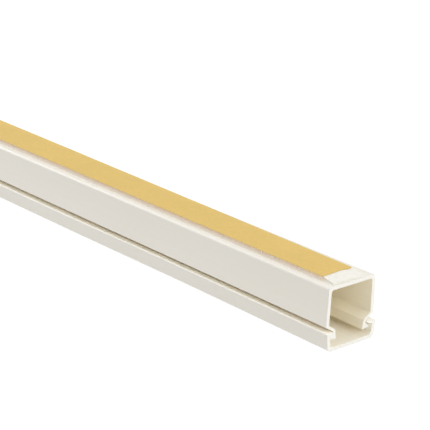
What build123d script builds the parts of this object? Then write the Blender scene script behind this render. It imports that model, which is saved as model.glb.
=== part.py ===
"""Self-adhesive cord cover raceway: a base channel, a snap-on lid, a strip of foam tape and its liner.

The raceway lies on its lid, with its taped back up. X runs along the length, and the lid's face is at Z = 0.
Both plastic pieces are thin-wall extrusions, drawn as sections in the YZ plane. Below the feet of the base's
walls, a sloped shelf turns in to a lip on each side. The lip has a groove in its outer side and a toe below
the groove. The lid's hooks reach into the two grooves and hold behind the toes.
"""

import os
from math import atan2, cos, radians, tan

from build123d import *

# Overall sizes, in millimetres
LENGTH = 400.0             # of the base, and of the lid
SECTION_WIDTH = 15.9       # outside, at the feet of the base's walls
SECTION_HEIGHT = 16.0      # from the lid's face to the base's back
LID_SLIDE = 0.7            # how far the lid stands out past the base at the +X end

# Base channel
BASE_WALL = 1.0
WALL_SPLAY = 0.25          # how far each wall leans out, from the back to its foot
BACK_THICKNESS = 0.95
BACK_EDGE_RADIUS = 0.9
BACK_INNER_RADIUS = 0.5
FOOT_HEIGHT = 6.1          # of the walls' feet, above the lid's face
FOOT_RADIUS = 0.4
SHELF_THICKNESS = 0.7
SHELF_BEND_RADIUS = 0.3
LIP_THICKNESS = 0.8        # behind the groove
LIP_LEAN = 0.25            # how far the lip's inner side leans in, down to its lower edge
TOE_ANGLE = 34.0           # of the toe's upper side and the hook's lower side, in degrees below level
TOE_TIP = 0.35             # height of the toe's blunt tip
TOE_DROP = 0.3             # how far the lip's lower edge is below the toe's tip

# Snap-on lid
LID_HEIGHT = 4.65          # from the face to the top of the hooks
LID_OVERHANG = 0.15        # how far each rim stands out past the wall's foot
LID_TAPER = 0.4            # how far each side leans in, from the rim to the face
LID_WALL = 1.0
LID_FACE_THICKNESS = 0.9
LID_EDGE_RADIUS = 1.4
LID_INNER_RADIUS = 0.9
LID_RIM_RADIUS = 0.35
HOOK_REACH = 2.45          # from the lid's outer side to the hook's tip
HOOK_THICKNESS = 0.75
HOOK_DROP = 0.25           # how far the hook's upper side falls, from the rim to its tip
HOOK_TIP = 0.2             # height of the hook's blunt tip

# Clearances between the lid and the base
GROOVE_CLEARANCE = 0.2     # round the hook's tip
TOE_CLEARANCE = 0.3        # from the toe's tip to the lid's wall

# Foam tape and its liner
TAPE_WIDTH = 11.0
TAPE_OFFSET = -0.5         # the tape lies a little off the middle of the back
FOAM_THICKNESS = 1.1
FOAM_SETBACK = 0.35        # from each end of the base
LINER_THICKNESS = 0.15
BARE_FOAM = 3.85           # left by the liner at the +X end

SAME_PLACE = 1e-4          # two points this close are one

# A slope is the change of y for each unit of z, and a point of a section is (y, z).
wall_slope = -WALL_SPLAY / (SECTION_HEIGHT - FOOT_HEIGHT)
lid_slope = LID_TAPER / LID_HEIGHT
bevel_slope = -1 / tan(radians(TOE_ANGLE))

foot = (SECTION_WIDTH / 2, FOOT_HEIGHT)
rim = (foot[0] + LID_OVERHANG, LID_HEIGHT)
rim_inside = (rim[0] - LID_WALL, LID_HEIGHT)
hook_tip = (rim[0] - HOOK_REACH, LID_HEIGHT - HOOK_DROP)

base_middle = -LID_SLIDE / 2
lid_middle = LID_SLIDE / 2


def at_height(point, slope, height):
    """The place at this height on the line through a point."""
    return (point[0] + slope * (height - point[1]), height)


def crossing(point_a, slope_a, point_b, slope_b):
    """The place where two lines cross."""
    gap = point_b[0] - point_a[0] - slope_b * point_b[1] + slope_a * point_a[1]
    return at_height(point_a, slope_a, gap / (slope_a - slope_b))


def mirrored_face(half_outline):
    """A closed face, from the corners of its +Y half."""
    other_half = [(-y, z) for y, z in reversed(half_outline)]
    return make_face(Polyline(*half_outline, *other_half, close=True))


def rounded(face, corner, radius):
    """The face with a corner and its mirror image rounded."""
    y, z = corner
    places = (Vector(y, z), Vector(-y, z))
    corners = [v for v in face.vertices() if min((v.center() - place).length for place in places) < SAME_PLACE]
    return fillet(corners, radius)


def extruded(face, middle):
    """A section drawn out along X, with its middle at X = middle."""
    return Pos(X=middle) * extrude(Plane.YZ * face, LENGTH / 2, both=True)


def make_base():
    """A channel with its back up, and a grooved lip under the foot of each wall."""
    back_edge = at_height(foot, wall_slope, SECTION_HEIGHT)

    # The groove holds the hook's tip with an even clearance.
    groove_floor = hook_tip[0] - GROOVE_CLEARANCE
    groove_top = (groove_floor, hook_tip[1] + GROOVE_CLEARANCE)
    groove_bottom = (groove_floor, hook_tip[1] - HOOK_TIP - GROOVE_CLEARANCE)

    # The toe ends just short of the lid's wall.
    toe_limit = (rim_inside[0] - TOE_CLEARANCE, rim_inside[1])
    toe_top = crossing(groove_bottom, bevel_slope, toe_limit, lid_slope)
    toe_bottom = (toe_top[0], toe_top[1] - TOE_TIP)

    # The lip's inner side leans in from the top of the groove to its lower edge.
    lip_side = (groove_floor - LIP_THICKNESS, groove_top[1])
    lip_edge = (lip_side[0] - LIP_LEAN, toe_bottom[1] - TOE_DROP)
    lip_slope = LIP_LEAN / (lip_side[1] - lip_edge[1])

    # The shelf's inner side is parallel to its outer side, from the groove to the foot.
    shelf_slope = (foot[0] - groove_top[0]) / (foot[1] - groove_top[1])
    shelf_angle = atan2(foot[1] - groove_top[1], foot[0] - groove_top[0])
    shelf_side = (groove_floor, groove_top[1] + SHELF_THICKNESS / cos(shelf_angle))
    shelf_low = crossing(shelf_side, shelf_slope, lip_side, lip_slope)
    wall_inside = (foot[0] - BASE_WALL, foot[1])
    shelf_high = crossing(shelf_side, shelf_slope, wall_inside, wall_slope)
    back_inside = at_height(wall_inside, wall_slope, SECTION_HEIGHT - BACK_THICKNESS)

    face = mirrored_face([
        back_edge, foot, groove_top, groove_bottom, toe_top, toe_bottom,
        lip_edge, shelf_low, shelf_high, back_inside,
    ])
    face = rounded(face, back_edge, BACK_EDGE_RADIUS)
    face = rounded(face, back_inside, BACK_INNER_RADIUS)
    face = rounded(face, foot, FOOT_RADIUS)
    face = rounded(face, shelf_low, SHELF_BEND_RADIUS)
    face = rounded(face, shelf_high, SHELF_BEND_RADIUS)
    return extruded(face, base_middle)


def make_lid():
    """A shallow channel with its face down, and a hook along the rim of each side."""
    face_edge = at_height(rim, lid_slope, 0)
    face_inside = at_height(rim_inside, lid_slope, LID_FACE_THICKNESS)
    hook_root = at_height(rim_inside, lid_slope, LID_HEIGHT - HOOK_THICKNESS)
    bevel_top = (hook_tip[0], hook_tip[1] - HOOK_TIP)
    bevel_foot = at_height(bevel_top, bevel_slope, LID_HEIGHT - HOOK_THICKNESS)

    face = mirrored_face([
        face_inside, hook_root, bevel_foot, bevel_top, hook_tip, rim, face_edge,
    ])
    face = rounded(face, face_edge, LID_EDGE_RADIUS)
    face = rounded(face, face_inside, LID_INNER_RADIUS)
    face = rounded(face, rim, LID_RIM_RADIUS)
    return extruded(face, lid_middle)


def make_strip(length, thickness, middle, height):
    """A flat strip of the tape's width on the base's back."""
    strip = Box(length, TAPE_WIDTH, thickness, align=(Align.CENTER, Align.CENTER, Align.MIN))
    return Pos(middle, TAPE_OFFSET, height) * strip


foam_length = LENGTH - 2 * FOAM_SETBACK
liner_length = foam_length - BARE_FOAM
liner_middle = base_middle - BARE_FOAM / 2
liner_height = SECTION_HEIGHT + FOAM_THICKNESS

nodes = {
    "base_channel": make_base(),
    "snap_lid": make_lid(),
    "foam_tape": make_strip(foam_length, FOAM_THICKNESS, base_middle, SECTION_HEIGHT),
    "release_liner": make_strip(liner_length, LINER_THICKNESS, liner_middle, liner_height),
}

os.makedirs("parts", exist_ok=True)
for name, solid in nodes.items():
    export_step(solid, f"parts/{name}.step")
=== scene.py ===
"""Looks of a self-adhesive cord cover raceway, built around its CAD frame.

Lengths are in metres, in the frame's own axes: X runs along the raceway, and its taped back is up. The two
plastic extrusions are swept again from their own sections, with eased edges, and the lid bows up slightly. The
foam tape and its liner get their uneven edges, the torn end of the liner, and the bare foam that it leaves.
"""

from cmath import phase
from math import cos, pi, radians, sin, tan
from random import Random

import bmesh
import bpy
from mathutils import Matrix, Vector, noise
from mathutils.geometry import convex_hull_2d


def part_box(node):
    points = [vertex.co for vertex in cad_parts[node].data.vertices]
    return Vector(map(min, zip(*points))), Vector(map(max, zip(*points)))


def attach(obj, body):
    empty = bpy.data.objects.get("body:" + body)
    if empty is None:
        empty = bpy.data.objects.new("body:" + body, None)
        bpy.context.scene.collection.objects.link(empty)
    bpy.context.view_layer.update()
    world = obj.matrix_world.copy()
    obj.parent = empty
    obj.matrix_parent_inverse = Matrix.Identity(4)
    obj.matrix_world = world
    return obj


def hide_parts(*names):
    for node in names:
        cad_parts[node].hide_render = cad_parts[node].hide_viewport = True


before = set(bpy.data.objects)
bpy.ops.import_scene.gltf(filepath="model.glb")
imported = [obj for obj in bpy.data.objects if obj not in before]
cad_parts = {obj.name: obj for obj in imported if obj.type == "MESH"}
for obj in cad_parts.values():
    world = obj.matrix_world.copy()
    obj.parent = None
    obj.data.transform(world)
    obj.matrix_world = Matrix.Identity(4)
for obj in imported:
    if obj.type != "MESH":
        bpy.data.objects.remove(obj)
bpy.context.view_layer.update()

MM = 0.001
WHITE = (1.0, 1.0, 1.0, 1)

# Camera, at the photograph's viewing angle
CAMERA_PLACE = Vector((425.04, -247.24, 146.74)) * MM
CAMERA_AZIMUTH = radians(47.932)      # 0 looks along +Y
CAMERA_ELEVATION = radians(19.214)
CAMERA_ROLL = radians(2.354)
CAMERA_LENS = 129.25                  # in millimetres, on a sensor 36 mm wide
CAMERA_CLIP_START = 1 * MM

# Light and floor
FLOOR_SIZE = 24.0
FLOOR_COLOUR = (0.1, 0.1, 0.1, 1)
FLOOR_GLOW = 0.93                     # it is lit from below too, as on a light table
FLOOR_ROUGHNESS = 0.75
FLOOR_SPECULAR = 0.1
WORLD_STRENGTH = 0.32
LIGHT_BOUNCES = 16                    # enough to reach deep into the duct
LIGHT_COLOUR = (1.0, 1.0, 1.0)
KEY_PLACE = Vector((2.35, 0.0, 1.15))
KEY_SIZE = 2.2
KEY_POWER = 46
TOP_PLACE = Vector((-0.3, 0.0, 2.5))
TOP_SIZE = 3.0
TOP_POWER = 36
TOP_COLOUR = (0.97, 0.985, 1.0)
SIDE_PLACE = Vector((0.6, 2.3, 1.3))
SIDE_SIZE = 2.0
SIDE_POWER = 14
EDGE_PLACE = Vector((-1.9, -0.66, 1.1))
EDGE_SIZE = 1.5
EDGE_POWER = 30.5

# Edges of the extrusions
SHARP_TURN = radians(25)              # a corner that turns more than this is eased
EASED_CORNER = 0.12 * MM              # its radius
EDGE_SHARE = 0.45                     # most of an edge that one eased corner takes up
CUT_ROUNDING = 0.06 * MM              # of the sawn ends' edges
ARC_STEPS = (0.0, 0.25, 0.5, 0.75, 1.0)
STATION_SPACING = 8 * MM
FACING = 0.9                          # a face whose normal has this much of an axis faces along it
HARD_EDGE = radians(65)               # faces that meet at more than this are shaded apart
SHADING_WEIGHT = 90                   # how far large faces lead the shading of small ones

# The lid's bow
LID_BOW = 0.19 * MM                   # how far the lid rises off the floor in the middle of its bow
BOW_MIDDLE = 151 * MM                 # along X
BOW_REACH = 55 * MM                   # along X, to each side

# Where the plastic is painted lighter and warmer: painted light in the duct and grooves
RECESS = "recess"                     # a mesh attribute: 0 on the outer faces, and 1 in the duct and grooves
RECESS_DEPTH = 0.5 * MM               # behind the outer faces, where it reaches 1
GROOVE = "groove"                     # a mesh attribute: 1 in the two grooves along the raceway's sides
GROOVE_START = 5.1 * MM               # from the section's middle, sideways
GROOVE_BOTTOM = 3.7 * MM              # above the floor
GROOVE_TOP = 5.05 * MM                # above the floor, at the groove's start
GROOVE_SLOPE = 0.6                    # how its top rises outwards, inside the shelf

# The tape's edges (near, far) across the back, where it ends and further in
EDGES_AT_END = (-6.05 * MM, 4.37 * MM)
EDGES_INSIDE = (-5.55 * MM, 5.54 * MM)
SKEW_LENGTH = 120 * MM                # between those two places
SKEW_END = 150 * MM                   # from the tape's end, and it runs straight from there on
TAPE_DROOP = 0.26 * MM                # of the far edge, where the tape ends
EDGE_WAVE = 0.06 * MM
EDGE_WAVE_LENGTH = 9 * MM

# Foam
FOAM_INSET = 0.08 * MM                # behind the liner's edges
FOAM_SPACING = 1.0 * MM
FOAM_FINE_SPACING = 0.12 * MM
FOAM_FINE_LENGTH = 5.5 * MM           # at the bare end
FOAM_TOP_STEPS = 72
FOAM_SIDE_STEPS = 7
FOAM_SIDE = "foam_side"               # a mesh attribute: 1 on the strip's sides, and 0 on its top
FOAM_SIDE_ROUGHNESS = 0.04 * MM
FOAM_SIDE_GRAIN = 0.6 * MM
FOAM_FLARE = 0.35 * MM                # how far its sides spread at the foot
FOAM_FLARE_POWER = 3                  # how quickly that fades upwards
# Painted light: the sides are painted paler towards their foot, as if lit by the bright back below.
FOAM_PALE_FOOT = 0.7 * MM             # height over which its sides turn from pale to tan
FOAM_PALE_END = 3.4 * MM              # past the liner, over which they turn pale too
FOAM_DIP = 0.03 * MM                  # of the bare foam, just past the liner
FOAM_DIP_LENGTH = 0.3 * MM
FOAM_HOLD = 0.5 * MM                  # past the liner, before it starts to thin out
FOAM_END_THICKNESS = (0.5 * MM, 0.04 * MM)    # at the near edge and the far one
FOAM_END_SPREAD = 0.6 * MM            # of the far edge, from the liner to the end
FOAM_END_WAVE = 0.3 * MM
FOAM_END_WAVE_LENGTH = 2.2 * MM
# The crease attribute also sets the painted shade in the creases' valleys.
CREASE = "crease"                     # a mesh attribute: 1 on the creases' ridges
CREASE_ON_SIDES = 0.5                 # the attribute's value on the strip's sides
CREASE_DEPTH = 0.05 * MM
CREASE_LENGTH = 1.5 * MM
CREASE_WIDTH = 0.3 * MM
CREASE_BEND = 0.5 * MM
CREASE_FOLDS = 0.8                    # share of the folds in the creases
CREASE_SPECKS = 0.4                   # share of the specks in them
CRUMB_COUNT = 26
CRUMB_STRETCH = 45 * MM               # along X, up to the liner's torn end
CRUMB_RADIUS = (0.08 * MM, 0.16 * MM)
CRUMB_SPREAD = 0.3 * MM               # in height, below the liner's edge
CRUMB_SUBDIVISIONS = 2
CRUMB_MATERIAL = 1                    # its place among the strip's materials

# Liner
LINER_SHEET = 0.07 * MM               # its own thickness, within the node's
LINER_WAVE = 0.02 * MM                # how far its top rises and falls
LINER_WAVE_LENGTH = 14 * MM
LINER_SPACING = 1.0 * MM
LINER_STEPS = 40
TEAR_LENGTH = 3 * MM                  # how far in from the end the tear bends the grid
TEAR_FRAY = 0.05 * MM
# The torn end, from the near edge to the far one: (share of the width, place past the node's end)
TEAR = (
    (0.0, 0.3 * MM), (0.35, 0.0), (0.6, -0.35 * MM),
    (0.75, -0.25 * MM), (0.86, 0.1 * MM), (1.0, -0.45 * MM),
)

# The random patterns. Each flat ripple has its own layer of the noise, so no two are alike.
PATTERN_SEED = 11
TAPE_EDGE_LAYER = 0
BEND_LAYER = 3
FOLD_LAYER = 5
SPECK_LAYER = 7
FRAY_LAYER = 9
LINER_WAVE_LAYER = 11
FOAM_END_LAYER = 13
SINGLE_ROW = 1                        # for a ripple along one line

# Colours, as linear red, green, blue and alpha. Two colours are the ends of a mix.
PVC_CLOUDS = ((0.727, 0.695, 0.625, 1), (0.737, 0.709, 0.643, 1))    # on the outer faces
PVC_DIE_LINES = (0.701, 0.659, 0.574, 1)
PVC_SAWN = ((0.69, 0.675, 0.615, 1), (0.718, 0.705, 0.65, 1))    # on the sawn ends
# Painted light: the duct and grooves are painted lighter and warmer than the outer faces. This stands in for
# light that shines through the thin walls and bounces inside.
BASE_INSIDE_PAINTED_LIGHT = (0.927, 0.876, 0.728, 1)
BASE_GROOVE_PAINTED_LIGHT = (0.99, 0.93, 0.82, 1)
LID_INSIDE_PAINTED_LIGHT = (0.912, 0.88, 0.785, 1)
LID_GROOVE_PAINTED_LIGHT = (0.965, 0.95, 0.88, 1)
FOAM_SIDES = ((0.78, 0.635, 0.476, 1), (0.726, 0.567, 0.408, 1))    # where they are tan
# Painted light: the pale colour at the sides' foot.
FOAM_FOOT_PAINTED_LIGHT = (0.717, 0.667, 0.599, 1)
FOAM_PALE_BARE = (0.86, 0.83, 0.745, 1)
# Painted shade: the creases' valleys are painted darker than their ridges.
FOAM_CREASE_PAINTED_SHADE = ((0.685, 0.663, 0.592, 1), (0.757, 0.742, 0.685, 1))    # a valley and a ridge
FOAM_CELLS = (0.71, 0.688, 0.622, 1)
CRUMB_CELLS = ((0.80, 0.77, 0.71, 1), (0.88, 0.86, 0.81, 1))
LINER_CLOUDS = ((0.648, 0.450, 0.1275, 1), (0.617, 0.424, 0.1215, 1))
LINER_MOTTLE = (0.568, 0.385, 0.117, 1)
LINER_FIBRES = (0.681, 0.496, 0.167, 1)

# Patterns of the finishes. A span is the part of a pattern's values that is used, and a share is how much of a
# colour is mixed in at the span's two ends. A depth is a bump's.
WIDE_SPAN = (0.2, 0.8)
MIDDLE_SPAN = (0.3, 0.7)
PVC_CLOUD_NOISE = dict(per_mm=(0.03, 0.09, 0.09), detail=3)
DIE_LINE_NOISE = dict(per_mm=(0.002, 2.2, 2.2), detail=3, roughness=0.6)
DIE_LINE_SPAN = (0.35, 0.75)
DIE_LINE_SHARE = (0.0, 0.12)
DIE_LINE_DEPTH = 0.006 * MM
SKIN_NOISE = dict(per_mm=(3.0, 7.0, 7.0))
SKIN_DEPTH = 0.004 * MM
SAW_NOISE = dict(per_mm=(0.5, 0.7, 9.0), detail=3, distortion=0.4)
SAW_SPAN = (0.35, 0.7)
SAW_DEPTH = 0.02 * MM
FOAM_CELL_NOISE = dict(per_mm=(5.0, 5.0, 5.0), detail=3, roughness=0.65)
FOAM_CELL_SPAN = (0.35, 0.7)
FOAM_CELL_SHARE = (0.0, 0.3)
FOAM_CELL_DEPTH = 0.04 * MM
BLOTCH_NOISE = dict(per_mm=(0.5, 0.9, 1.4), detail=3)
CRUMB_CELL_NOISE = dict(per_mm=(9.0, 9.0, 9.0))
CRUMB_CELL_DEPTH = 0.02 * MM
LINER_CLOUD_NOISE = dict(per_mm=(0.12, 0.2, 0.2), detail=4, roughness=0.6)
MOTTLE_NOISE = dict(per_mm=(1.1, 1.5, 1.5), detail=4, roughness=0.65, distortion=0.6)
MOTTLE_SPAN = (0.4, 0.75)
MOTTLE_SHARE = (0.0, 0.55)
MOTTLE_DEPTH = 0.02 * MM
FIBRE_NOISE = dict(per_mm=(1.2, 9.0, 9.0), detail=3, roughness=0.6, distortion=0.8)
FIBRE_SPAN = (0.5, 0.8)
FIBRE_SHARE = (0.0, 0.45)
FIBRE_DEPTH = 0.008 * MM

# Gloss
PVC_IOR = 1.52
PVC_ROUGHNESS = (0.36, 0.48)
SAWN_FACING = (0.3, 0.7)              # how far a face looks along X, where the sawn finish starts and is full
SAWN_ROUGHNESS = 0.2                  # on top of the skin's
FOAM_ROUGHNESS = (0.7, 0.9)
CRUMB_ROUGHNESS = (0.75, 0.9)
LINER_ROUGHNESS = (0.5, 0.66)

# Sockets of the mix node: its factor, its two colours, and its result
MIX_INPUTS = (0, 6, 7)
MIX_OUTPUT = 2

foam_low, foam_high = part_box("foam_tape")
liner_low, liner_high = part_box("release_liner")
bare_length = foam_high.x - liner_high.x


def smooth_step(share):
    """A share from 0 to 1, eased at both ends."""
    share = min(max(share, 0.0), 1.0)
    return share * share * (3 - 2 * share)


def ripple(x, y, z):
    """Smooth noise between about -1 and 1, the same in each run."""
    return noise.noise(Vector((x + PATTERN_SEED, y, z)))


def with_neighbours(outline):
    """Each point of a closed outline, between the points before and after it."""
    return zip(outline[-1:] + outline[:-1], outline, outline[1:] + outline[:1])


def section_outline(node_name):
    """A node's section at its +X end, as complex numbers y + zj, anticlockwise as seen from there."""
    mesh = bmesh.new()
    mesh.from_mesh(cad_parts[node_name].data)
    following = {}
    for face in mesh.faces:
        if face.normal.x > FACING:
            for loop in face.loops:
                if loop.edge.is_boundary:
                    following[loop.vert] = loop.link_loop_next.vert
    outline = []
    vertex = next(iter(following))
    while len(outline) < len(following):
        outline.append(complex(vertex.co.y, vertex.co.z))
        vertex = following[vertex]
    mesh.free()
    return outline


def eased_outline(outline):
    """The outline with each sharp corner turned into a small arc."""
    made = []
    for before, corner, after in with_neighbours(outline):
        turn = abs(phase((after - corner) / (corner - before)))
        if turn < SHARP_TURN:
            made.append(corner)
            continue
        room = EDGE_SHARE * min(abs(corner - before), abs(after - corner))
        reach = min(EASED_CORNER * tan(turn / 2), room)
        start = corner + reach * (before - corner) / abs(before - corner)
        end = corner + reach * (after - corner) / abs(after - corner)
        made += [start * (1 - t) ** 2 + corner * 2 * t * (1 - t) + end * t ** 2 for t in ARC_STEPS]
    return made


def drawn_in(outline, inset):
    """The outline moved inwards."""
    return [
        point + inset * 1j * (after - before) / abs(after - before)
        for before, point, after in with_neighbours(outline)
    ]


def evenly(start, end, spacing):
    """Places from start to end, about this far apart."""
    count = max(1, round(abs(end - start) / spacing))
    return [start + (end - start) * step / count for step in range(count + 1)]


def closed_mesh(name, rings):
    """A mesh through rings of points, which run anticlockwise as seen from +X, with its two ends filled."""
    count = len(rings[0])
    points = [point for ring in rings for point in ring]
    faces = []
    for ring_start in range(0, len(points) - count, count):
        for at in range(count):
            here = ring_start + at
            there = ring_start + (at + 1) % count
            faces.append((here, there, there + count, here + count))
    faces.append(tuple(reversed(range(count))))
    faces.append(tuple(range(len(points) - count, len(points))))
    mesh = bpy.data.meshes.new(name)
    mesh.from_pydata(points, [], faces)
    mesh.shade_smooth()
    mesh.set_sharp_from_angle(angle=HARD_EDGE)
    return mesh


def set_attribute(mesh, name, values):
    """Gives a mesh an attribute with a value for each point."""
    attribute = mesh.attributes.new(name, "FLOAT", "POINT")
    attribute.data.foreach_set("value", values)


def add_piece(mesh, node_name, slot_name, *materials):
    """A piece that stands for a node and rides where the node does."""
    piece = bpy.data.objects.new(mesh.name, mesh)
    bpy.context.scene.collection.objects.link(piece)
    for material in materials:
        mesh.materials.append(material)
    even_shading = piece.modifiers.new("even_shading", "WEIGHTED_NORMAL")
    even_shading.weight = SHADING_WEIGHT
    even_shading.keep_sharp = True
    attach(piece, "root")
    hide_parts(node_name)
    return piece


class Finish:
    """A material that is being made: its node tree, its shader, and the nodes that the finishes share."""

    def __init__(self, name):
        self.material = bpy.data.materials.new(name)
        self.material.use_nodes = True
        self.tree = self.material.node_tree
        self.shader = self.tree.nodes["Principled BSDF"]
        self.place = self.add("ShaderNodeTexCoord").outputs["Object"]
        self.normal = self.add("ShaderNodeNewGeometry").outputs["Normal"]

    def add(self, kind, **settings):
        """A new node with these settings."""
        node = self.tree.nodes.new(kind)
        for name, value in settings.items():
            setattr(node, name, value)
        return node

    def put(self, socket, value):
        """Sets an input to a value, or links it to an output."""
        if isinstance(value, bpy.types.NodeSocket):
            self.tree.links.new(value, socket)
        else:
            socket.default_value = value

    def fill(self, node, **inputs):
        """Sets or links a node's inputs. An input's name has _ for each space."""
        for name, value in inputs.items():
            self.put(node.inputs[name.replace("_", " ")], value)
        return node

    def noise(self, per_mm, detail=2, roughness=0.5, distortion=0.0):
        """Noise with this many waves to the millimetre along X, Y and Z."""
        scale = [waves / MM for waves in per_mm]
        mapping = self.fill(self.add("ShaderNodeMapping"), Vector=self.place, Scale=scale)
        texture = self.fill(
            self.add("ShaderNodeTexNoise"), Vector=mapping.outputs[0],
            Scale=1.0, Detail=detail, Roughness=roughness, Distortion=distortion,
        )
        return texture.outputs[0]

    def attribute(self, name):
        """A mesh attribute's value."""
        return self.add("ShaderNodeAttribute", attribute_name=name).outputs["Fac"]

    def between(self, value, span, spread=(0.0, 1.0)):
        """A value's span, from low to high, spread over other values."""
        node = self.add("ShaderNodeMapRange")
        self.fill(node, Value=value, From_Min=span[0], From_Max=span[1], To_Min=spread[0], To_Max=spread[1])
        return node.outputs[0]

    def math(self, operation, *values):
        """What a math operation makes of its values."""
        node = self.add("ShaderNodeMath", operation=operation)
        for socket, value in zip(node.inputs, values):
            self.put(socket, value)
        return node.outputs[0]

    def mix(self, factor, first, second):
        """A colour between two colours."""
        node = self.add("ShaderNodeMix", data_type="RGBA")
        for at, value in zip(MIX_INPUTS, (factor, first, second)):
            self.put(node.inputs[at], value)
        return node.outputs[MIX_OUTPUT]

    def along(self, axis):
        """The place along an axis."""
        return self.fill(self.add("ShaderNodeSeparateXYZ"), Vector=self.place).outputs[axis]

    def facing(self, axis):
        """How far a face looks along an axis: 1 along it, and -1 the other way."""
        return self.fill(self.add("ShaderNodeSeparateXYZ"), Vector=self.normal).outputs[axis]

    def bump(self, height, depth, below=None):
        """A bumpy normal of this depth, on top of another bump."""
        node = self.fill(self.add("ShaderNodeBump"), Height=height, Distance=depth, Strength=1.0)
        if below is not None:
            self.fill(node, Normal=below)
        return node.outputs[0]


def pvc_finish(name, inside_painted_light, groove_painted_light):
    """Ivory PVC: a satin skin with faint lengthwise die lines, and duller sawn ends. The duct and grooves are
    painted lighter and warmer, as painted light.
    """
    finish = Finish(name)
    clouds = finish.noise(**PVC_CLOUD_NOISE)
    die_lines = finish.noise(**DIE_LINE_NOISE)
    skin = finish.noise(**SKIN_NOISE)
    saw_marks = finish.noise(**SAW_NOISE)
    sawn = finish.between(finish.math("ABSOLUTE", finish.facing("X")), SAWN_FACING)

    outer = finish.mix(finish.between(clouds, MIDDLE_SPAN), *PVC_CLOUDS)
    # Painted light: lighter, warmer colours in the duct and grooves.
    inside = finish.mix(finish.attribute(GROOVE), inside_painted_light, groove_painted_light)
    ivory_with_painted_light = finish.mix(finish.attribute(RECESS), outer, inside)
    lined = finish.mix(finish.between(die_lines, DIE_LINE_SPAN, DIE_LINE_SHARE), ivory_with_painted_light, PVC_DIE_LINES)
    ends = finish.mix(finish.between(saw_marks, SAW_SPAN), *PVC_SAWN)
    colour = finish.mix(sawn, lined, ends)

    satin = finish.between(die_lines, WIDE_SPAN, PVC_ROUGHNESS)
    rough = finish.math("ADD", satin, finish.math("MULTIPLY", sawn, SAWN_ROUGHNESS))
    lines_bump = finish.bump(die_lines, DIE_LINE_DEPTH)
    skin_bump = finish.bump(skin, SKIN_DEPTH, below=lines_bump)
    saw_height = finish.math("MULTIPLY", saw_marks, sawn)
    saw_bump = finish.bump(saw_height, SAW_DEPTH, below=skin_bump)
    finish.fill(finish.shader, Base_Color=colour, Roughness=rough, IOR=PVC_IOR, Normal=saw_bump)
    return finish.material


def foam_finish():
    """Foam: cream and creased where the liner is off it, with painted shade in the creases' valleys, and tan
    along its cut sides, which are painted paler towards their foot as painted light.
    """
    finish = Finish("foam")
    cells = finish.noise(**FOAM_CELL_NOISE)
    blotches = finish.noise(**BLOTCH_NOISE)
    bare = finish.between(finish.along("X"), (liner_high.x, liner_high.x + FOAM_PALE_END))
    # Painted light: the sides are painted paler towards their foot.
    pale = finish.between(finish.along("Z"), (foam_low.z + FOAM_PALE_FOOT, foam_low.z))

    tan_side = finish.mix(finish.between(blotches, MIDDLE_SPAN), *FOAM_SIDES)
    side = finish.mix(bare, finish.mix(pale, tan_side, FOAM_FOOT_PAINTED_LIGHT), FOAM_PALE_BARE)
    # Painted shade in the creases' valleys.
    crease_painted_shade = finish.mix(finish.attribute(CREASE), *FOAM_CREASE_PAINTED_SHADE)
    top = finish.mix(finish.between(cells, FOAM_CELL_SPAN, FOAM_CELL_SHARE), crease_painted_shade, FOAM_CELLS)
    colour = finish.mix(finish.attribute(FOAM_SIDE), top, side)
    rough = finish.between(cells, WIDE_SPAN, FOAM_ROUGHNESS)
    bumps = finish.bump(cells, FOAM_CELL_DEPTH)
    finish.fill(finish.shader, Base_Color=colour, Roughness=rough, Normal=bumps)
    return finish.material


def crumb_finish():
    """Pale crumbs of foam along the tape's cut sides."""
    finish = Finish("foam_crumbs")
    cells = finish.noise(**CRUMB_CELL_NOISE)
    colour = finish.mix(cells, *CRUMB_CELLS)
    rough = finish.between(cells, WIDE_SPAN, CRUMB_ROUGHNESS)
    bumps = finish.bump(cells, CRUMB_CELL_DEPTH)
    finish.fill(finish.shader, Base_Color=colour, Roughness=rough, Normal=bumps)
    return finish.material


def liner_finish():
    """Kraft-yellow release paper: mottled pulp, fine fibres and a faint silicone sheen."""
    finish = Finish("liner_paper")
    clouds = finish.noise(**LINER_CLOUD_NOISE)
    mottle = finish.noise(**MOTTLE_NOISE)
    fibres = finish.noise(**FIBRE_NOISE)
    broad = finish.mix(finish.between(clouds, MIDDLE_SPAN), *LINER_CLOUDS)
    mottled = finish.mix(finish.between(mottle, MOTTLE_SPAN, MOTTLE_SHARE), broad, LINER_MOTTLE)
    colour = finish.mix(finish.between(fibres, FIBRE_SPAN, FIBRE_SHARE), mottled, LINER_FIBRES)
    rough = finish.between(mottle, WIDE_SPAN, LINER_ROUGHNESS)
    bumps = finish.bump(fibres, FIBRE_DEPTH, below=finish.bump(mottle, MOTTLE_DEPTH))
    finish.fill(finish.shader, Base_Color=colour, Roughness=rough, Normal=bumps)
    return finish.material


def floor_finish():
    """A plain pale studio floor."""
    finish = Finish("pale_floor")
    finish.fill(
        finish.shader, Base_Color=FLOOR_COLOUR, Roughness=FLOOR_ROUGHNESS, Specular_IOR_Level=FLOOR_SPECULAR,
        Emission_Color=WHITE, Emission_Strength=FLOOR_GLOW,
    )
    return finish.material


def outer_hull():
    """The convex outline round the whole section of the raceway, anticlockwise as seen from +X."""
    points = section_outline("base_channel") + section_outline("snap_lid")
    order = convex_hull_2d([Vector((point.real, point.imag)) for point in points])
    return [points[at] for at in order]


def recess_share(point, hull):
    """How far a point lies behind the raceway's outer faces: 0 on them, and 1 from RECESS_DEPTH on."""
    inwards = [(start, 1j * (end - start) / abs(end - start)) for start, end in zip(hull, hull[1:] + hull[:1])]
    depth = min(((point - start) * inward.conjugate()).real for start, inward in inwards)
    return min(max(depth / RECESS_DEPTH, 0.0), 1.0)


def groove_share(point):
    """1 for a point of the section in a groove between a wall's foot and the lid's rim, and 0 elsewhere."""
    across = abs(point.real) - GROOVE_START
    return float(across > 0 and GROOVE_BOTTOM < point.imag < GROOVE_TOP + GROOVE_SLOPE * across)


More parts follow.
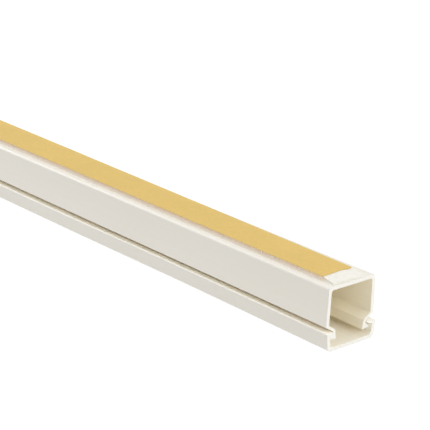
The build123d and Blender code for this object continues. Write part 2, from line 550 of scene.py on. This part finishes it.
def make_extrusion(node_name, material, bow=0.0):
    """A plastic piece, swept along its node, with eased edges and sawn ends. It rises by its bow near +X."""
    low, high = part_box(node_name)
    outline = eased_outline(section_outline(node_name))
    quarter = [step * pi / 2 for step in ARC_STEPS]
    rounding = [(CUT_ROUNDING * (1 - sin(turn)), CUT_ROUNDING * (1 - cos(turn))) for turn in quarter]
    middle = evenly(low.x + CUT_ROUNDING, high.x - CUT_ROUNDING, STATION_SPACING)[1:-1]
    stations = [(low.x + depth, inset) for depth, inset in reversed(rounding)]
    stations += [(place, 0.0) for place in middle]
    stations += [(high.x - depth, inset) for depth, inset in rounding]
    rings = []
    for place, inset in stations:
        rise = bow * smooth_step(1 - abs(place - BOW_MIDDLE) / BOW_REACH)
        rings.append([(place, point.real, point.imag + rise) for point in drawn_in(outline, inset)])
    mesh = closed_mesh(f"{node_name}_skin", rings)
    hull = outer_hull()
    set_attribute(mesh, RECESS, [recess_share(point, hull) for point in outline] * len(rings))
    set_attribute(mesh, GROOVE, [groove_share(point) for point in outline] * len(rings))
    add_piece(mesh, node_name, "ivory_pvc", material)


def tape_edges(place):
    """The near and far edges of the tape across the back, at a place along it."""
    share = min(foam_high.x - place, SKEW_END) / SKEW_LENGTH
    return [
        at_end + (inside - at_end) * share + EDGE_WAVE * ripple(place / EDGE_WAVE_LENGTH, row, TAPE_EDGE_LAYER)
        for row, (at_end, inside) in enumerate(zip(EDGES_AT_END, EDGES_INSIDE))
    ]


def tape_droop(place, share):
    """How far the tape is pressed down at a place along it, and a share of its width from the near edge."""
    return TAPE_DROOP * share * max(0.0, 1 - (foam_high.x - place) / SKEW_LENGTH)


def tear_offset(share):
    """How far past its node's end the liner reaches, at a share of its width."""
    for (start, offset), (end, next_offset) in zip(TEAR, TEAR[1:]):
        if share <= end:
            return offset + (next_offset - offset) * smooth_step((share - start) / (end - start))
    return TEAR[-1][1]


def ridge_height(place, across):
    """The bare foam's creases, which run mostly along the tape: 1 on a ridge, and 0 in a valley."""
    bent = across + CREASE_BEND * ripple(place / CREASE_LENGTH, across / CREASE_LENGTH, BEND_LAYER)
    folds = 1 - 2 * abs(ripple(place / CREASE_LENGTH, bent / CREASE_WIDTH, FOLD_LAYER))
    specks = ripple(place / CREASE_WIDTH, across / CREASE_WIDTH, SPECK_LAYER)
    return min(max(CREASE_FOLDS * folds + CREASE_SPECKS * specks, 0.0), 1.0)


def foam_ring(place):
    """A section of the foam, from its far side to its near one, with each point's crease and side values."""
    near, far = tape_edges(place)
    near += FOAM_INSET
    far -= FOAM_INSET
    end_share = smooth_step((place - liner_high.x) / bare_length)
    far += FOAM_END_SPREAD * end_share
    ring = []
    ridges = []
    sides = []

    def add(across, height, ridge, side):
        wave = (1 + ripple(across / FOAM_END_WAVE_LENGTH, SINGLE_ROW, FOAM_END_LAYER)) / 2
        ring.append((place - end_share * FOAM_END_WAVE * wave, across, height))
        ridges.append(ridge)
        sides.append(side)

    def top_height(share, ridge):
        past_tear = place - liner_high.x - tear_offset(share)
        bare = smooth_step(past_tear / FOAM_DIP_LENGTH)
        droop = tape_droop(min(place, liner_high.x), share)
        slump_share = max(past_tear - FOAM_HOLD, 0) / (bare_length - tear_offset(share) - FOAM_HOLD)
        near_end, far_end = FOAM_END_THICKNESS
        end_thickness = near_end + (far_end - near_end) * share
        slump = slump_share * (foam_high.z - foam_low.z - droop - FOAM_DIP - end_thickness)
        crease = CREASE_DEPTH * (1 - ridge) * (1 - slump_share)
        return foam_high.z - droop - slump - bare * (FOAM_DIP + crease)

    def add_top(share):
        across = near + (far - near) * share
        ridge = ridge_height(place, across)
        add(across, top_height(share, ridge), ridge, 0.0)

    def add_side(edge, outward, shares):
        edge_top = top_height(outward, ridge_height(place, edge))
        for share in shares:
            height = foam_low.z + (edge_top - foam_low.z) * share
            rough = ripple(place / FOAM_SIDE_GRAIN, outward, height / FOAM_SIDE_GRAIN) - 1
            spread = FOAM_FLARE * (1 - share) ** FOAM_FLARE_POWER + FOAM_SIDE_ROUGHNESS * rough
            add(edge + (spread if outward else -spread), height, CREASE_ON_SIDES, 1 - end_share)

    side_shares = [step / FOAM_SIDE_STEPS for step in range(FOAM_SIDE_STEPS)]
    add_side(far, 1, side_shares)
    for step in range(FOAM_TOP_STEPS + 1):
        add_top(1 - step / FOAM_TOP_STEPS)
    add_side(near, 0, reversed(side_shares))
    return ring, ridges, sides


def add_crumbs(mesh):
    """Small lumps of torn foam, half sunk in the strip's two sides, and more of them towards +X."""
    draw = Random(PATTERN_SEED)
    made = bmesh.new()
    made.from_mesh(mesh)
    for _ in range(CRUMB_COUNT):
        place = draw.triangular(liner_high.x - CRUMB_STRETCH, liner_high.x, liner_high.x)
        edge = draw.choice((0, 1))
        highest = foam_high.z - tape_droop(place, edge) - CRUMB_RADIUS[1]
        height = draw.uniform(highest - CRUMB_SPREAD, highest)
        centre = Vector((place, tape_edges(place)[edge], height))
        size = Vector([draw.uniform(*CRUMB_RADIUS) for _ in range(3)])
        matrix = Matrix.Translation(centre) @ Matrix.Diagonal(size).to_4x4()
        lump = bmesh.ops.create_icosphere(made, subdivisions=CRUMB_SUBDIVISIONS, radius=1.0, matrix=matrix)
        for vertex in lump["verts"]:
            for face in vertex.link_faces:
                face.material_index = CRUMB_MATERIAL
                face.smooth = True
    made.to_mesh(mesh)
    made.free()


def make_foam(foam, crumbs):
    """The foam strip, bare and creased past the liner, with crumbs along its sides."""
    fine_start = foam_high.x - FOAM_FINE_LENGTH
    places = evenly(foam_low.x, fine_start, FOAM_SPACING)[:-1]
    places += evenly(fine_start, foam_high.x, FOAM_FINE_SPACING)
    rings, ridges, sides = zip(*[foam_ring(place) for place in places])
    mesh = closed_mesh("foam_strip", rings)
    for name, rows in ((CREASE, ridges), (FOAM_SIDE, sides)):
        set_attribute(mesh, name, [value for row in rows for value in row])
    add_crumbs(mesh)
    return add_piece(mesh, "foam_tape", "foam", foam, crumbs)


def liner_ring(place):
    """A section of the liner: its underside, and back over its top."""
    near, far = tape_edges(place)
    end_share = smooth_step(1 - (liner_high.x - place) / TEAR_LENGTH)
    top = []
    bottom = []
    for step in range(LINER_STEPS + 1):
        share = step / LINER_STEPS
        across = near + (far - near) * share
        fray = TEAR_FRAY * ripple(across / CREASE_WIDTH, SINGLE_ROW, FRAY_LAYER)
        moved = place + end_share * (tear_offset(share) + fray)
        wave = LINER_WAVE * ripple(place / LINER_WAVE_LENGTH, across / LINER_WAVE_LENGTH, LINER_WAVE_LAYER)
        foot = liner_low.z - tape_droop(place, share)
        bottom.append((moved, across, foot))
        top.append((moved, across, foot + LINER_SHEET + wave))
    return bottom + top[::-1]


def make_liner(material):
    """The release liner on the tape, torn off short of the near end."""
    rings = [liner_ring(place) for place in evenly(liner_low.x, liner_high.x, LINER_SPACING)]
    add_piece(closed_mesh("liner_sheet", rings), "release_liner", "liner_paper", material)


def make_floor():
    """A plain floor under the raceway."""
    mesh = bpy.data.meshes.new("floor")
    half = FLOOR_SIZE / 2
    corners = [(-half, -half, 0), (half, -half, 0), (half, half, 0), (-half, half, 0)]
    mesh.from_pydata(corners, [], [(0, 1, 2, 3)])
    mesh.materials.append(floor_finish())
    floor = bpy.data.objects.new("floor", mesh)
    bpy.context.scene.collection.objects.link(floor)


def make_softbox(name, place, size, power, colour=LIGHT_COLOUR):
    """A square light that looks at the raceway's middle."""
    light = bpy.data.lights.new(name, "AREA")
    light.size = size
    light.energy = power
    light.color = colour
    lamp = bpy.data.objects.new(name, light)
    lamp.location = place
    lamp.rotation_euler = (-place).to_track_quat("-Z", "Y").to_euler()
    bpy.context.scene.collection.objects.link(lamp)


def make_world():
    """Even white light from all round, with plain colours."""
    world = bpy.data.worlds.new("studio")
    world.use_nodes = True
    background = world.node_tree.nodes["Background"]
    background.inputs["Color"].default_value = WHITE
    background.inputs["Strength"].default_value = WORLD_STRENGTH
    bpy.context.scene.world = world
    bpy.context.scene.view_settings.view_transform = "Standard"
    bpy.context.scene.cycles.diffuse_bounces = LIGHT_BOUNCES
    bpy.context.scene.cycles.max_bounces = LIGHT_BOUNCES


def make_camera():
    """The photograph's camera."""
    data = bpy.data.cameras.new("camera")
    data.lens = CAMERA_LENS
    data.clip_start = CAMERA_CLIP_START
    camera = bpy.data.objects.new("camera", data)
    level = cos(CAMERA_ELEVATION)
    back = Vector((sin(CAMERA_AZIMUTH) * level, -cos(CAMERA_AZIMUTH) * level, sin(CAMERA_ELEVATION)))
    right = Vector((cos(CAMERA_AZIMUTH), sin(CAMERA_AZIMUTH), 0))
    up = back.cross(right)
    turn = Matrix((right, up, back)).transposed().to_4x4() @ Matrix.Rotation(CAMERA_ROLL, 4, "Z")
    camera.matrix_world = Matrix.Translation(CAMERA_PLACE) @ turn
    bpy.context.scene.collection.objects.link(camera)
    bpy.context.scene.camera = camera


make_camera()
make_world()
make_softbox("key_light", KEY_PLACE, KEY_SIZE, KEY_POWER)
make_softbox("top_light", TOP_PLACE, TOP_SIZE, TOP_POWER, TOP_COLOUR)
make_softbox("edge_light", EDGE_PLACE, EDGE_SIZE, EDGE_POWER)
make_softbox("side_light", SIDE_PLACE, SIDE_SIZE, SIDE_POWER)
make_floor()

# The duct and grooves of both pieces get painted light: lighter, warmer colours.
make_extrusion("base_channel", pvc_finish("base_pvc", BASE_INSIDE_PAINTED_LIGHT, BASE_GROOVE_PAINTED_LIGHT))
make_extrusion("snap_lid", pvc_finish("lid_pvc", LID_INSIDE_PAINTED_LIGHT, LID_GROOVE_PAINTED_LIGHT), LID_BOW)
make_foam(foam_finish(), crumb_finish())
make_liner(liner_finish())
